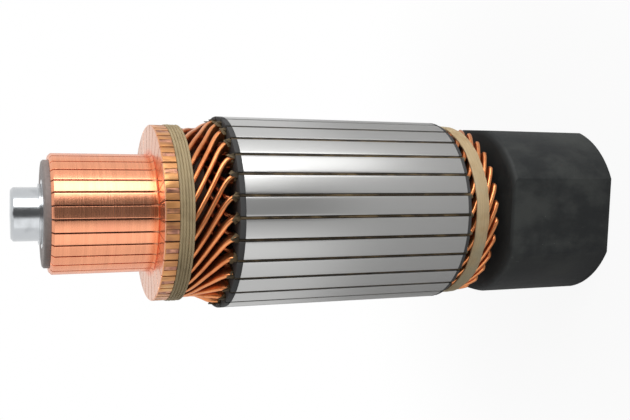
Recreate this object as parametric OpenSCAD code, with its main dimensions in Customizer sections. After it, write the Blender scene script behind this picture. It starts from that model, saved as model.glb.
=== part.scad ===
// Starter motor armature with a hairpin wave winding.
// It stands on the end face of its drive block, with the shaft along +Z
// and the commutator at the top.

/* [Shaft] */
// Radius of the journal that runs in the commutator end bearing
journal_r = 10.5; // [8:0.1:10.8]
// Length of that journal past the thrust collar
journal_len = 10.2; // [8:0.1:30]
// Radius of the seat that carries the commutator
commutator_seat_r = 11; // [10.8:0.1:12.5]
// Radius of the seat that carries the core
core_seat_r = 13; // [12.6:0.1:15]
// Radius of the shoulder that the core is pressed against
shoulder_r = 16; // [15.2:0.1:20]
// Radius of the seat inside the drive block
drive_seat_r = 12; // [9:0.1:15]
// Depth of the shaft's drive end below the end face of the block
shaft_recess = 1; // [0.5:0.1:5]
// Chamfer on the shaft's two ends
shaft_chamfer = 1; // [0.3:0.1:1.5]
// Mouth radius of the lathe centre in each end
centre_r = 3.2; // [2:0.1:5]

/* [Drive block] */
// Radius of the turned block
block_r = 39; // [34:0.5:39.5]
// Length of the block
block_len = 53.2; // [30:0.1:80]
// Rounding between its side and the face that looks at the winding
block_round = 3.1; // [0.5:0.1:5]
// Distance from the axis to the two deep flats
deep_flat_r = 35.2; // [32:0.1:38]
// Distance from the axis to the two shallow flats
shallow_flat_r = 37.3; // [34:0.1:38.8]
// Direction of the first deep flat
flat_turn = -96; // [-180:1:180]

/* [Core] */
// Radius of the steel core
core_r = 40; // [40:0.5:48]
// Length of the steel core
core_len = 97; // [60:0.5:140]
// Distance from the block to the core
drive_gap = 24.5; // [22:0.1:34]
// Number of slots, of coils and of commutator bars
slot_count = 29; // [25:2:31]
// Direction of the first slot
slot_turn = -93.5; // [-180:0.5:180]
// Width of the slot's mouth
slot_mouth = 1; // [0.6:0.1:1.6]
// Thickness of the tooth lips over the slot
lip_t = 1.3; // [0.8:0.1:2.5]
// Thickness of the fibre disc at the commutator end
front_disc_t = 2.2; // [1:0.1:3]
// Thickness of the fibre disc at the drive end
rear_disc_t = 1.5; // [1:0.1:2.5]

/* [Winding] */
// Width of the copper strip
strip_w = 1.8; // [1.2:0.1:2]
// Height of the copper strip, which stands on edge
strip_h = 4.8; // [4:0.1:5]
// Gap between the upper and the lower layer
layer_gap = 0.85; // [0.7:0.05:1]
// Thickness of the paper lining in each slot
liner_t = 0.25; // [0.15:0.05:0.3]
// How far the lining stands out of the fibre discs
liner_out = 0.4; // [0.2:0.1:1]
// Length of the pointed paper tips at the commutator end
liner_tip = 2.6; // [1:0.1:4]
// Thickness of the fibre strip between the two layers in a slot
separator_t = 0.5; // [0.3:0.05:0.6]
// Thickness of the sleeves between the layers outside the core
sleeve_t = 0.25; // [0.15:0.05:0.3]
// Distance from the block to the hairpin noses
nose_gap = 6.6; // [4:0.1:8]
// Length of the end turns between the core and the commutator risers
end_turn_len = 24.3; // [20:0.1:34]
// How far the upper layer drops at the drive end
nose_drop = 0.6; // [0:0.1:1]

/* [Commutator] */
// Radius of the brush track
track_r = 23.8; // [23:0.1:24]
// Length of the brush track
track_len = 39.1; // [20:0.1:60]
// How far the rim of the risers lies inside the surface of the core
riser_step = 4.2; // [3.5:0.1:5]
// Width of the risers
riser_w = 5.5; // [4:0.1:8]
// Wall left in front of the slot in each riser
riser_wall = 1; // [0.5:0.1:2]
// Depth of the upper strip below the rim of the risers
lead_sink = 0.9; // [0.5:0.1:1]
// Thickness of the mica between two bars
mica_t = 0.6; // [0.4:0.1:0.9]
// Depth of the undercut in the mica
undercut = 0.8; // [0.3:0.1:1.2]
// Angle from a slot to the next bar's middle
bar_lead = 4.4; // [3:0.1:6]
// Chamfer on the free end of the bars
bar_chamfer = 1; // [0.3:0.1:1.5]
// Radius of the moulded ring that shows inside the bars
mould_r = 21.2; // [20:0.1:21.5]
// How far that ring stands out past the bars
mould_proud = 2.4; // [0.5:0.1:4]
// Radius of the steel bush in the middle of the commutator
bush_r = 13.5; // [13.2:0.1:14.5]
// Radius of the thrust collar on the shaft
collar_r = 11.9; // [11.4:0.1:13]
// Width of the thrust collar
collar_w = 1.2; // [0.6:0.1:3]

/* [Bindings] */
// Thickness of the cord bound round the commutator end turns
cord_d = 1.2; // [0.8:0.1:1.4]
// Number of turns of that cord
cord_turns = 5; // [3:1:6]
// Width of the tape bound round the drive end turns
tape_w = 6.3; // [4:0.1:7]
// Thickness of that tape
tape_t = 0.9; // [0.4:0.1:1.2]
// Distance from the hairpin noses to the tape
tape_lift = 6.5; // [5.5:0.1:7]

/* [Fits] */
// Gap between pieces that are pressed or bonded together
press_gap = 0.05; // [0.02:0.01:0.1]
// Gap round the strips in their slots
slot_play = 0.1; // [0.05:0.01:0.2]
// Gap between the winding and its bindings
band_gap = 0.1; // [0.05:0.01:0.2]

/* [Hidden] */
$fn = 96;
function coil_name(i) = str("hairpin_coil_", i < 10 ? "0" : "", i);
COILS = [for (i = [1:slot_count]) coil_name(i)];

// Heights of the main faces, from the block's end face upwards
core_z = block_len + drive_gap;
core_top = core_z + core_len;
front_disc_top = core_top + front_disc_t;
riser_back = core_top + end_turn_len;
riser_front = riser_back + riser_w;
bar_end = riser_front + track_len;
mould_end = bar_end + mould_proud;
collar_end = mould_end + collar_w;
shaft_end = collar_end + journal_len;
nose_z = block_len + nose_gap;

// Slots, counted by their pitch
pitch = 360 / slot_count;
coil_span = round(slot_count / 4);
upper_lead = bar_lead - 4 * pitch;
lower_lead = bar_lead + 3 * pitch;
slot_top_r = core_r - lip_t;
riser_r = core_r - riser_step;
liner_w = strip_w + 2 * (slot_play + liner_t);
slot_w = liner_w + 2 * press_gap;
upper_r = slot_top_r - press_gap - liner_t - slot_play - strip_h / 2;
layer_step = strip_h + layer_gap;
lower_r = upper_r - layer_step;
liner_floor_r = lower_r - strip_h / 2 - slot_play - liner_t;
slot_floor_r = liner_floor_r - press_gap;

// End turns: where they start to bend, and how far they drop
bend_gap = 0.2;
front_bend_z = front_disc_top + liner_out + bend_gap;
front_bend_end = riser_back - 2 * bend_gap;
rear_bend_z = core_z - rear_disc_t - liner_out - bend_gap;
rear_depth = rear_bend_z - nose_z - strip_w / 2;
lead_r = riser_r - lead_sink - strip_h / 2;
front_drop = upper_r - lead_r;
half_span = coil_span * pitch / 2;
bend_in = 0.25;
bend_out = 0.3;
nose_bend = 0.12;
nose_half = 3.2;
nose_top_r = upper_r - nose_drop;
tape_z = nose_z + tape_lift;
tape_top = tape_z + tape_w;

// Where the stations of an end turn lie along it
front_settled = 0.46;
front_steps = [0, 0.1, 0.2, 0.32, front_settled, 0.62, 0.8, 1];
rear_settled = (rear_bend_z - tape_top - bend_gap) / rear_depth * (1 - nose_bend / 2);
nose_step = nose_half / half_span * (1 - bend_in / 2);
rear_steps = concat(
    [0, rear_settled / 2],
    [for (k = [0:4]) rear_settled + (1 - nose_bend - rear_settled) * k / 4],
    [1 - nose_step, 1 - nose_step / 2]);

// Bars: anchors in the moulding
foot_r = 16.5;
hook_r = 18;
hook_in = 3.1;
groove_in = 6.1;
root_fillet = 1;
riser_floor_r = lead_r - layer_step - strip_h / 2 - slot_play;

far = core_r + 10;
over = 1;

// A run from 0 to 1 whose speed rises over a and falls over b
function ramp(u, a, b) =
    let (whole = 1 - a / 2 - b / 2)
    (u < a ? u * u / (2 * a)
     : u > 1 - b ? whole - (1 - u) * (1 - u) / (2 * b)
     : u - a / 2) / whole;
function smooth(u) = let (t = min(max(u, 0), 1)) t * t * (3 - 2 * t);
function reversed(list) = [for (i = [len(list) - 1:-1:0]) list[i]];
function unit(v) = v / norm(v);
function polar(p) = [p[1] * cos(p[0]), p[1] * sin(p[0]), p[2]];

// Radius of the upper layer along the front end turn
function front_r(u) = upper_r - front_drop * smooth(u / front_settled);
// Radius of the upper layer along the rear end turn
function rear_r(u) = upper_r - nose_drop * smooth(u / rear_settled);

// Stations of one end turn as [angle, radius, height]
function front_turn(u, lead, drop) =
    [lead * ramp(u, bend_in, bend_out), front_r(u) - drop,
     front_bend_z + (front_bend_end - front_bend_z) * u];
function rear_turn(u, drop) =
    [half_span * ramp(u, bend_in, 0), rear_r(u) - drop,
     rear_bend_z - rear_depth * ramp(u, 0, nose_bend)];
function nose_sink(angle) =
    layer_step / 2 * (1 + sin(90 * min(max((angle - half_span) / nose_half, -1), 1)));

// One coil: lead, end turn, upper leg, nose, lower leg, end turn, lead
function coil_path() = let (
    upper_front = [for (u = front_steps) front_turn(u, upper_lead, 0)],
    upper_rear = [for (u = rear_steps) let (p = rear_turn(u, 0)) [p[0], p[1] - nose_sink(p[0]), p[2]]],
    nose = [[half_span, nose_top_r - layer_step / 2, nose_z + strip_w / 2]],
    lower_rear = [for (u = reversed(rear_steps)) let (p = rear_turn(u, 0), a = 2 * half_span - p[0])
                  [a, p[1] - nose_sink(a), p[2]]],
    lower_front = [for (u = front_steps) let (p = front_turn(u, lower_lead, layer_step))
                   [2 * half_span + p[0], p[1], p[2]]],
    tip_z = riser_front - riser_wall - 2 * bend_gap,
    upper_tip = [[upper_lead, lead_r, tip_z]],
    lower_tip = [[2 * half_span + lower_lead, lead_r - layer_step, tip_z]])
    concat(upper_tip, reversed(upper_front), upper_rear, nose, lower_rear, lower_front, lower_tip);

// The four corners of the strip at a station, with its height along the radius
function strip_corners(path, k) = let (
    here = polar(path[k]),
    before = k > 0 ? unit(here - polar(path[k - 1])) : [0, 0, 0],
    after = k < len(path) - 1 ? unit(polar(path[k + 1]) - here) : [0, 0, 0],
    out = [cos(path[k][0]), sin(path[k][0]), 0],
    side = unit(cross(before + after, out)))
    [for (c = [[-1, -1], [1, -1], [1, 1], [-1, 1]])
        here + side * c[0] * strip_w / 2 + out * c[1] * strip_h / 2];

module strip_sweep(path) {
    corners = [for (k = [0:len(path) - 1]) each strip_corners(path, k)];
    last = 4 * (len(path) - 1);
    walls = [for (k = [0:len(path) - 2], j = [0:3])
        each [[4 * k + j, 4 * k + (j + 1) % 4, 4 * k + 4 + j],
              [4 * k + (j + 1) % 4, 4 * k + 4 + (j + 1) % 4, 4 * k + 4 + j]]];
    ends = [[0, 2, 1], [0, 3, 2], [last, last + 1, last + 2], [last, last + 2, last + 3]];
    polyhedron(points = corners, faces = concat(walls, ends), convexity = 8);
}

module ring(outer, inner, height) {
    linear_extrude(height) difference() {
        circle(outer);
        circle(inner);
    }
}

module at_slots() {
    for (i = [0:slot_count - 1]) rotate(slot_turn + i * pitch) children();
}

// A rectangle that reaches along +X from one radius to another
module bar_2d(from_r, to_r, width) {
    translate([from_r, -width / 2]) square([to_r - from_r, width]);
}

module shaft() {
    drill_r = 1.25;
    drill_depth = 4;
    cone = (centre_r - drill_r) * sqrt(3);
    bottom = shaft_recess;
    color("silver") rotate_extrude() polygon([
        [0, bottom + cone + drill_depth],
        [drill_r, bottom + cone + drill_depth],
        [drill_r, bottom + cone],
        [centre_r, bottom],
        [drive_seat_r - shaft_chamfer, bottom],
        [drive_seat_r, bottom + shaft_chamfer],
        [drive_seat_r, block_len],
        [shoulder_r, block_len],
        [shoulder_r, core_z],
        [core_seat_r, core_z],
        [core_seat_r, riser_back - press_gap],
        [commutator_seat_r, riser_back - press_gap],
        [commutator_seat_r, collar_end],
        [journal_r, collar_end],
        [journal_r, shaft_end - shaft_chamfer],
        [journal_r - shaft_chamfer, shaft_end],
        [centre_r, shaft_end],
        [drill_r, shaft_end - cone],
        [drill_r, shaft_end - cone - drill_depth],
        [0, shaft_end - cone - drill_depth]
    ]);
}

module drive_block() {
    bore = drive_seat_r + press_gap;
    color("#2b2d2f") difference() {
        rotate_extrude() difference() {
            translate([bore, 0]) square([block_r - bore, block_len]);
            translate([block_r - block_round, block_len - block_round]) difference() {
                square(block_round + over);
                circle(block_round);
            }
        }
        for (i = [0:3]) rotate(flat_turn + 90 * i)
            translate([i % 2 == 0 ? deep_flat_r : shallow_flat_r, -far, -over])
                cube([far, 2 * far, block_len + 2 * over]);
    }
}

module slots_2d() {
    at_slots() {
        bar_2d(slot_floor_r, slot_top_r, slot_w);
        bar_2d(slot_top_r - lip_t, far, slot_mouth);
    }
}

module slotted_disc(bore, height) {
    linear_extrude(height) difference() {
        circle(core_r);
        circle(bore);
        slots_2d();
    }
}

module core_stack() {
    color("#c3c7c9") translate([0, 0, core_z]) slotted_disc(core_seat_r + press_gap, core_len);
}

module front_fibre_disc() {
    color("#3a3b3c") translate([0, 0, core_top]) slotted_disc(core_seat_r + press_gap, front_disc_t);
}

module rear_fibre_disc() {
    color("#3a3b3c") translate([0, 0, core_z - rear_disc_t])
        slotted_disc(shoulder_r + press_gap, rear_disc_t);
}

module slot_liners() {
    bottom = core_z - rear_disc_t - liner_out;
    top_r = slot_top_r - press_gap;
    length = front_disc_top + liner_out - bottom;
    color("#cdbd93") at_slots() {
        translate([0, 0, bottom]) linear_extrude(length) difference() {
            bar_2d(liner_floor_r, top_r, liner_w);
            bar_2d(liner_floor_r + liner_t, top_r - liner_t, liner_w - 2 * liner_t);
        }
        translate([top_r, 0, bottom + length]) rotate([0, -90, 0]) linear_extrude(liner_t)
            polygon([[-over, -liner_w / 2], [0, -liner_w / 2], [liner_tip, 0],
                     [0, liner_w / 2], [-over, liner_w / 2]]);
    }
}

module slot_separators() {
    middle = (upper_r + lower_r) / 2;
    color("#8a6f45") at_slots() translate([0, 0, core_z]) linear_extrude(core_len)
        bar_2d(middle - separator_t / 2, middle + separator_t / 2, strip_w);
}

// A sleeve between the two layers, below the upper strips' middle radius
module layer_sleeve(strip_r, from_z, to_z) {
    middle = strip_r - layer_step / 2;
    color("#4a3524") translate([0, 0, from_z])
        ring(middle + sleeve_t / 2, middle - sleeve_t / 2, to_z - from_z);
}

module front_layer_sleeve() {
    settled_z = front_bend_z + (front_bend_end - front_bend_z) * front_settled;
    layer_sleeve(lead_r, settled_z, front_bend_end);
}

module rear_layer_sleeve() {
    layer_sleeve(nose_top_r, tape_z, tape_top);
}

module shaft_insulator() {
    insulator_t = 2;
    inner = core_seat_r + press_gap;
    color("#7d5a35") translate([0, 0, front_disc_top])
        ring(inner + insulator_t, inner, riser_back - front_disc_top - press_gap);
}

module hairpin_coil(i) {
    color("#c9753f") rotate(slot_turn + (i - 1) * pitch) strip_sweep(coil_path());
}

// The outline of a bar, from its riser to its anchors in the moulding
module bar_outline() {
    inner = mould_r + press_gap;
    fillet = [for (a = [0:30:90])
        [track_r + root_fillet * (1 - sin(a)), riser_front + root_fillet * (1 - cos(a))]];
    polygon(concat(
        [[inner, riser_back], [riser_r, riser_back], [riser_r, riser_front]],
        fillet,
        [[track_r, bar_end - bar_chamfer], [track_r - bar_chamfer, bar_end],
         [inner, bar_end], [inner, bar_end - groove_in],
         [hook_r, bar_end - hook_in], [foot_r, bar_end - hook_in],
         [foot_r, riser_back + hook_in], [hook_r, riser_back + hook_in],
         [inner, riser_back + groove_in]]));
}

module commutator_bars() {
    slot_width = strip_w + 2 * slot_play;
    color("#d98a5c") at_slots() rotate(bar_lead) difference() {
        rotate(-pitch / 2) rotate_extrude(angle = pitch) bar_outline();
        for (side = [-1, 1]) rotate(side * pitch / 2)
            translate([0, -mica_t / 2, riser_back - over])
                cube([far, mica_t, bar_end - riser_back + 2 * over]);
        translate([riser_floor_r, -slot_width / 2, riser_back - over])
            cube([far, slot_width, riser_w - riser_wall + over]);
    }
}

module mica_separators() {
    sheet = mica_t - 2 * press_gap;
    inner = mould_r + press_gap;
    color("#4b3a2c") at_slots() rotate(bar_lead - pitch / 2)
        translate([0, sheet / 2, 0]) rotate([90, 0, 0]) linear_extrude(sheet) polygon([
            [inner, riser_back], [riser_r - undercut, riser_back],
            [riser_r - undercut, riser_front - mica_t],
            [track_r - undercut, riser_front - mica_t],
            [track_r - undercut, bar_end - mica_t],
            [inner, bar_end - mica_t], [inner, bar_end - groove_in],
            [hook_r, bar_end - hook_in], [foot_r, bar_end - hook_in],
            [foot_r, riser_back + hook_in], [hook_r, riser_back + hook_in],
            [inner, riser_back + groove_in]]);
}

module commutator_moulding() {
    inner = bush_r + press_gap;
    slip = 2 * press_gap;
    rim = 0.6;
    color("#6e6259") rotate_extrude() polygon([
        [inner, riser_back], [mould_r, riser_back],
        [mould_r, riser_back + groove_in - slip],
        [hook_r, riser_back + hook_in - slip],
        [foot_r - press_gap, riser_back + hook_in - slip],
        [foot_r - press_gap, bar_end - hook_in + slip],
        [hook_r, bar_end - hook_in + slip],
        [mould_r, bar_end - groove_in + slip],
        [mould_r, mould_end - rim], [mould_r - rim, mould_end],
        [inner, mould_end]]);
}

module commutator_bush() {
    color("#8f9294") translate([0, 0, riser_back])
        ring(bush_r, commutator_seat_r + press_gap, mould_end - riser_back);
}

module thrust_collar() {
    color("#a9acae") translate([0, 0, mould_end])
        ring(collar_r, commutator_seat_r + press_gap, collar_w);
}

module front_binding_cord() {
    lay = cord_d - press_gap;
    middle_r = riser_r - lead_sink + band_gap + cord_d / 2;
    color("#b9ae87") rotate_extrude() for (i = [0:cord_turns - 1])
        translate([middle_r, riser_back - band_gap - cord_d / 2 - i * lay]) circle(d = cord_d);
}

module rear_binding_tape() {
    inner = nose_top_r + strip_h / 2 + band_gap;
    color("#c2ac7d") translate([0, 0, tape_z]) ring(inner + tape_t, inner, tape_w);
}

shaft();
drive_block();
core_stack();
front_fibre_disc();
rear_fibre_disc();
slot_liners();
slot_separators();
front_layer_sleeve();
rear_layer_sleeve();
shaft_insulator();
commutator_bars();
mica_separators();
commutator_moulding();
commutator_bush();
thrust_collar();
front_binding_cord();
rear_binding_tape();
for (i = [1:slot_count]) hairpin_coil(i);
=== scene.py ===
import math
import random

import bmesh
import bpy
from mathutils import Matrix, Vector, noise


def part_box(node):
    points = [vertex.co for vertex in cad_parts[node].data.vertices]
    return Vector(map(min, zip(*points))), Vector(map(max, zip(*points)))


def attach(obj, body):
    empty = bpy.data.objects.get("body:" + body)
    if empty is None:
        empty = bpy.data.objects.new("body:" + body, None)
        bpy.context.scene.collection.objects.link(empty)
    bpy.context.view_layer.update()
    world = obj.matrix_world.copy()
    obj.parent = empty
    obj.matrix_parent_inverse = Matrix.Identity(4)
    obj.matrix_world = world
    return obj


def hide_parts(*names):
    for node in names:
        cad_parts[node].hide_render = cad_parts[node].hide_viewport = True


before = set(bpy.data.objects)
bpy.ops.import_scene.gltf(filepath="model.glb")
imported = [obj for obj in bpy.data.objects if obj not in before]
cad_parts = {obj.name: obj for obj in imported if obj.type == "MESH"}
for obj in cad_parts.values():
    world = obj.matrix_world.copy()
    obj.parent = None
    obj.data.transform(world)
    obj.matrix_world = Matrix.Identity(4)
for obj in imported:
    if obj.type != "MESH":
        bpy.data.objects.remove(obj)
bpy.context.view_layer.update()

bl_info = {
    "name": "Motor Armature",
    "version": (1, 0, 0),
    "blender": (4, 5, 0),
    "location": "View3D > Sidebar > Armature",
    "description": "Dresses a starter motor armature with a hairpin wave winding",
    "category": "Object",
}

MM = 0.001
ROOT = "root"


def top(node):
    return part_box(node)[1].z


def bottom(node):
    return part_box(node)[0].z


def reach(node):
    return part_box(node)[1].x


# Heights and radii that the frame gives
CORE_R = reach("core_stack")
CORE_LOW = bottom("core_stack")
CORE_HIGH = top("core_stack")
DISC_HIGH = top("front_fibre_disc")
DISC_LOW = bottom("rear_fibre_disc")
RISER_BACK = bottom("commutator_bars")
BAR_END = top("commutator_bars")
BLOCK_HIGH = top("drive_block")
TAPE_LOW = bottom("rear_binding_tape")
TAPE_HIGH = top("rear_binding_tape")
CORD_LOW = bottom("front_binding_cord")
CORD_HIGH = top("front_binding_cord")
LINER_LOW = bottom("slot_liners")


# ---------------------------------------------------------------- sizes

def size(label, text, default, low, high):
    return bpy.props.FloatProperty(name=label, description=text, default=default * MM,
                                   min=low * MM, max=high * MM, unit="LENGTH", precision=5)


def span(label, text, default):
    return bpy.props.FloatProperty(name=label, description=text, default=default, min=0.1, unit="LENGTH")


def power(label, text, default):
    return bpy.props.FloatProperty(name=label, description=text, default=default, min=0.0, unit="POWER")


def colour(label, text, default):
    return bpy.props.FloatVectorProperty(name=label, description=text, default=default,
                                         min=0.0, max=1.0, size=3, subtype="COLOR")


class WindingSizes(bpy.types.PropertyGroup):
    slots: bpy.props.IntProperty(name="Slots", description="Number of slots, coils and bars",
                                 default=29, min=25, max=31)
    slot_turn: bpy.props.FloatProperty(name="First Slot", description="Direction of the first slot",
                                       default=math.radians(-93.5), unit="ROTATION")
    strip_width: size("Strip Width", "Width of the copper strip", 1.8, 1.2, 2)
    strip_height: size("Strip Height", "Height of the copper strip, which stands on edge", 4.8, 4, 5)
    strip_corner: size("Strip Corner", "Radius of the strip's long edges", 0.72, 0.1, 0.85)
    nose_reach: size("Nose Reach", "How far the loop of a nose stands past its legs", 0.6, 0.3, 3)
    nose_lead: size("Nose Lead", "Height of the legs' ends above the noses' clearance", 2.2, 0.5, 4)
    layer_gap: size("Layer Gap", "Gap between the upper and the lower layer", 0.85, 0.7, 1)
    upper_depth: size("Upper Depth", "Depth of the upper layer's middle below the core's surface",
                      4.1, 3.5, 5)
    nose_gap: size("Nose Gap", "Distance from the block to the hairpin noses", 6.6, 4, 8)
    nose_drop: size("Nose Drop", "How far the upper layer drops at the drive end", 0.6, 0, 1)
    bend_gap: size("Bend Gap", "Straight run before a strip starts to bend", 0.2, 0.1, 1)


class CoreSizes(bpy.types.PropertyGroup):
    slot_width: size("Slot Width", "Width of a slot below its mouth", 2.6, 2, 3)
    slot_mouth: size("Slot Mouth", "Width of the slot's mouth", 1.3, 0.6, 1.6)
    slot_floor: size("Slot Floor", "Radius of the slot's floor", 27.5, 24, 30)
    lip: size("Lip", "Thickness of the tooth lips over the slot", 1.3, 0.8, 2.5)
    core_bore: size("Core Bore", "Radius of the bore on the shaft", 13.05, 12, 15)
    disc_bore: size("Disc Bore", "Radius of the bore on the shaft's shoulder", 16.05, 15, 20)
    edge: size("Edge", "Radius left on the ground edges", 0.10, 0.02, 0.3)


class CommutatorSizes(bpy.types.PropertyGroup):
    riser_width: size("Riser Width", "Width of the risers", 5.5, 4, 8)
    riser_wall: size("Riser Wall", "Wall left in front of the strip in each riser", 0.6, 0.3, 2)
    track_radius: size("Track Radius", "Radius of the brush track", 23.8, 23, 24)
    seat_radius: size("Seat Radius", "Radius where the bars meet the moulding", 21.25, 20, 21.5)
    mica_width: size("Mica Width", "Thickness of the mica between two bars", 0.6, 0.4, 0.9)
    undercut: size("Undercut", "Depth of the undercut in the mica", 0.8, 0.3, 1.2)
    run_out: size("Run-out", "Distance from the risers to the full depth of the undercut", 3, 1, 5)
    root: size("Root", "Radius where the track meets the risers", 1, 0.5, 2)
    lead_sink: size("Lead Sink", "Depth of the upper strip below the rim of the risers", 0.9, 0.3, 1)
    riser_radius: size("Riser Radius", "Radius of the rim of the risers", 35.8, 35, 36.5)
    bar_lead: bpy.props.FloatProperty(name="Bar Lead", description="Angle from a slot to the next bar",
                                      default=math.radians(4.4), unit="ROTATION")
    edge: size("Edge", "Radius worn on the edges of the bars", 0.08, 0.02, 0.3)


class BindingSizes(bpy.types.PropertyGroup):
    cord_turns: bpy.props.IntProperty(name="Cord Turns", description="Turns of the binding cord",
                                      default=5, min=3, max=6)
    cord_width: size("Cord Width", "Thickness of the binding cord", 1.2, 0.8, 1.4)
    tape_thickness: size("Tape Thickness", "Thickness of the wound tape", 0.9, 0.4, 1.2)
    paper: size("Paper", "Thickness of the slot paper", 0.25, 0.1, 0.3)
    flare: size("Flare", "Reach of the paper tips past the disc", 3.4, 1, 5)


class Colours(bpy.types.PropertyGroup):
    steel: colour("Ground Steel", "Ground surface of the core", (0.55, 0.57, 0.58))
    shaft: colour("Shaft", "Turned surface of the shaft", (0.60, 0.62, 0.64))
    oxide: colour("Black Oxide", "Blackened surface of the drive block", (0.014, 0.016, 0.017))
    bloom: colour("Oxide Bloom", "Cloudy grey bloom on the block", (0.10, 0.107, 0.10))
    bar: colour("Bar Copper", "Turned copper of the brush track", (0.95, 0.40, 0.225))
    riser: colour("Riser Copper", "Rough copper of the risers' rim", (0.92, 0.42, 0.17))
    strip: colour("Strip Copper", "Drawn copper of the winding", (0.88, 0.34, 0.13))
    tarnish: colour("Tarnish", "Brown film on the copper", (0.20, 0.065, 0.035))
    fibre: colour("Fibre", "Dark fibre of the end discs", (0.006, 0.006, 0.006))
    paper: colour("Paper", "Slot paper", (0.19, 0.135, 0.070))
    tape: colour("Tape", "Varnished glass tape", (0.58, 0.43, 0.24))
    cord: colour("Cord", "Binding cord", (0.50, 0.39, 0.22))
    mica: colour("Mica", "Mica between the bars", (0.060, 0.034, 0.024))
    resin: colour("Resin", "Moulded ring inside the bars", (0.27, 0.225, 0.21))
    brown_fibre: colour("Brown Fibre", "Wrapped insulation under the winding", (0.06, 0.032, 0.018))


class StageSettings(bpy.types.PropertyGroup):
    floor_reach: span("Floor Reach", "How far the paper runs behind and beside the object", 40.0)
    floor_front: span("Floor Front", "How far the paper runs in front of the object", 0.44)
    key_power: power("Key Power", "Power of the main lamp", 3.6)
    fill_power: power("Fill Power", "Power of the fill lamp", 0.4)
    strip_power: power("Strip Power", "Power of the narrow softbox", 0.055)


# ------------------------------------------------------------- materials

class Value:
    """A quantity that varies over a surface. Sums on it add Math nodes."""

    def __init__(self, finish, socket):
        self.finish = finish
        self.socket = socket

    def __add__(self, other):
        return self.finish.sum("ADD", self, other)

    def __sub__(self, other):
        return self.finish.sum("SUBTRACT", self, other)

    def __rsub__(self, other):
        return self.finish.sum("SUBTRACT", other, self)

    def __mul__(self, other):
        return self.finish.sum("MULTIPLY", self, other)

    __radd__ = __add__
    __rmul__ = __mul__


class Finish:
    """A procedural material, or the world, built from expressions."""

    def __init__(self, owner):
        self.owner = owner
        owner.use_nodes = True
        self.tree = owner.node_tree
        self.tree.nodes.clear()

    def node(self, kind, settings=None, inputs=None, out=0):
        made = self.tree.nodes.new("ShaderNode" + kind)
        for key, value in (settings or {}).items():
            if key == "stops":
                ramp = made.color_ramp
                while len(ramp.elements) < len(value):
                    ramp.elements.new(0.5)
                for element, (place, shade) in zip(ramp.elements, value):
                    element.position = place
                    element.color = (*shade, 1) if isinstance(shade, tuple) else (shade,) * 3 + (1,)
            else:
                setattr(made, key, value)
        for key, value in (inputs or {}).items():
            if isinstance(value, Value):
                self.tree.links.new(value.socket, made.inputs[key])
            else:
                made.inputs[key].default_value = value
        return Value(self, made.outputs[out])

    def sum(self, operation, left, right):
        return self.node("Math", {"operation": operation}, {0: left, 1: right})

    def clamp(self, value):
        return self.node("Clamp", None, {0: value})

    def place(self):
        return self.node("TexCoord", None, None, "Object")

    def part(self, vector, axis):
        return self.node("SeparateXYZ", None, {0: vector}, axis)

    def stretch(self, scale, turn=(0, 0, 0)):
        return self.node("Mapping", None, {"Vector": self.place(), "Scale": scale, "Rotation": turn})

    def radius(self):
        place = self.place()
        x, y = self.part(place, "X"), self.part(place, "Y")
        return self.sum("SQRT", x * x + y * y, 0.0)

    def angle(self):
        place = self.place()
        return self.sum("ARCTAN2", self.part(place, "Y"), self.part(place, "X"))

    def turned(self, around, along):
        """Noise drawn out round the axis, as a lathe tool leaves it on sides and faces."""
        place = self.place()
        depth = (self.part(place, "Z") + self.radius()) * along
        vector = self.node("CombineXYZ", None, {0: self.part(place, "X") * around,
                                                1: self.part(place, "Y") * around, 2: depth})
        return self.noise(1.0, 3, vector, 0.6)

    def noise(self, scale, detail=2.0, vector=None, rough=0.5):
        return self.node("TexNoise", None, {"Vector": vector or self.place(), "Scale": scale,
                                            "Detail": detail, "Roughness": rough})

    def cells(self, scale, vector=None):
        return self.node("TexVoronoi", None, {"Vector": vector or self.place(), "Scale": scale})

    def step(self, value, low, high):
        return self.node("MapRange", {"interpolation_type": "SMOOTHSTEP"},
                         {0: value, 1: low, 2: high, 3: 0.0, 4: 1.0})

    def blend(self, amount, first, second, mode="MIX"):
        return self.node("Mix", {"data_type": "RGBA", "blend_type": mode},
                         {0: amount, 6: first, 7: second}, 2)

    def wave(self, phase):
        """A ripple between 0 and 1."""
        return self.node("Math", {"operation": "SINE"}, {0: phase}) * 0.5 + 0.5

    def bump(self, height, distance, strength=1.0):
        return self.node("Bump", None, {"Height": height, "Distance": distance, "Strength": strength})

    def surface(self, **inputs):
        named = {key.replace("_", " "): value for key, value in inputs.items()}
        shader = self.node("BsdfPrincipled", None, named)
        self.node_output(shader)
        return self.owner

    def node_output(self, shader):
        kind = "OutputWorld" if isinstance(self.owner, bpy.types.World) else "OutputMaterial"
        end = self.tree.nodes.new("ShaderNode" + kind)
        self.tree.links.new(shader.socket, end.inputs["Surface"])


def riser_front():
    return RISER_BACK + bpy.context.scene.armature_commutator.riser_width


def rgba(shade, gain=1.0):
    return (shade[0] * gain, shade[1] * gain, shade[2] * gain, 1.0)


def palette():
    return bpy.context.scene.armature_colours


def new_finish(name):
    return Finish(bpy.data.materials.new(name))


def once(maker):
    """Makes a material the first time that it is asked for."""
    def get():
        found = bpy.data.materials.get(maker.__name__)
        return found or maker(new_finish(maker.__name__))
    return get


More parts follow.
